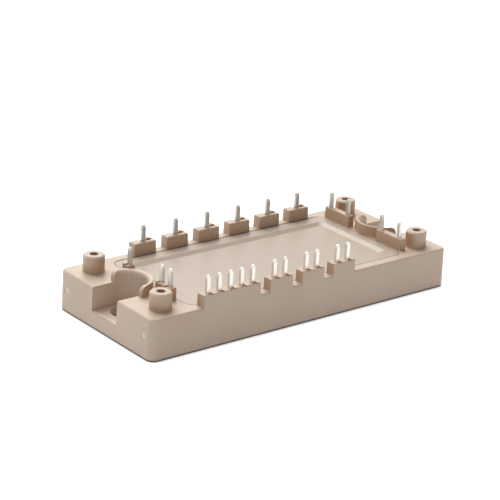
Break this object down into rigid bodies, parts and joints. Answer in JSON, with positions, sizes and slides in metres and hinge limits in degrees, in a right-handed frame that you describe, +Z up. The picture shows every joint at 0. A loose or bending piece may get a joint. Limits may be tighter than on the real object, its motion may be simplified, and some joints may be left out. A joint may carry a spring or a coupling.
{
  "type": "igbt module",
  "caption": "Flat power semiconductor module with a moulded frame, rows of upright solder pins, board screw bosses, a slotted screw bay at each end and a metal baseplate for a heat sink.",
  "frame": {"origin": "centre of the module's outline in plan, on the underside of the baseplate", "axes": "+X along the long side towards the end with four pins, +Y towards the back row of pins, +Z up along the pins, away from the heat sink"},
  "size_m": [0.1076, 0.045, 0.0205],
  "materials": {
    "housing_plastic": "beige glass-filled moulding plastic, fine grain",
    "lid_plastic": "beige moulded plastic, satin",
    "base_metal": "nickel-plated copper plate, dull",
    "tinned_pin": "bright tin plate on copper",
    "solder": "soft solder",
    "copper": "bare copper",
    "ceramic": "white alumina",
    "chip": "silicon with an aluminium top layer",
    "thermistor_body": "dark ceramic",
    "bond_wire": "drawn aluminium wire",
    "gel": "clear soft silicone gel"
  },
  "bodies": {
    "root": {"frame": "housing_plastic", "lid": "lid_plastic", "baseplate": "base_metal", "pin_01": "tinned_pin", "pin_02": "tinned_pin", "pin_03": "tinned_pin", "pin_04": "tinned_pin", "pin_05": "tinned_pin", "pin_06": "tinned_pin", "pin_07": "tinned_pin", "pin_08": "tinned_pin", "pin_09": "tinned_pin", "pin_10": "tinned_pin", "pin_11": "tinned_pin", "pin_12": "tinned_pin", "pin_13": "tinned_pin", "pin_14": "tinned_pin", "pin_15": "tinned_pin", "pin_16": "tinned_pin", "pin_17": "tinned_pin", "pin_18": "tinned_pin", "pin_19": "tinned_pin", "pin_20": "tinned_pin", "pin_21": "tinned_pin", "pin_22": "tinned_pin", "pin_23": "tinned_pin", "pin_24": "tinned_pin", "solder_left": "solder", "copper_under_left": "copper", "tracks_left": "copper", "ceramic_left": "ceramic", "solder_right": "solder", "copper_under_right": "copper", "tracks_right": "copper", "ceramic_right": "ceramic", "inverter_switch_1": "chip", "inverter_switch_2": "chip", "inverter_switch_3": "chip", "inverter_switch_4": "chip", "inverter_switch_5": "chip", "inverter_switch_6": "chip", "brake_switch": "chip", "inverter_diode_1": "chip", "inverter_diode_2": "chip", "inverter_diode_3": "chip", "inverter_diode_4": "chip", "inverter_diode_5": "chip", "inverter_diode_6": "chip", "brake_diode": "chip", "rectifier_diode_1": "chip", "rectifier_diode_2": "chip", "rectifier_diode_3": "chip", "rectifier_diode_4": "chip", "rectifier_diode_5": "chip", "rectifier_diode_6": "chip", "thermistor": "thermistor_body", "chip_wires": "bond_wire", "pin_wires": "bond_wire", "gel": "gel"}
  },
  "joints": []
}
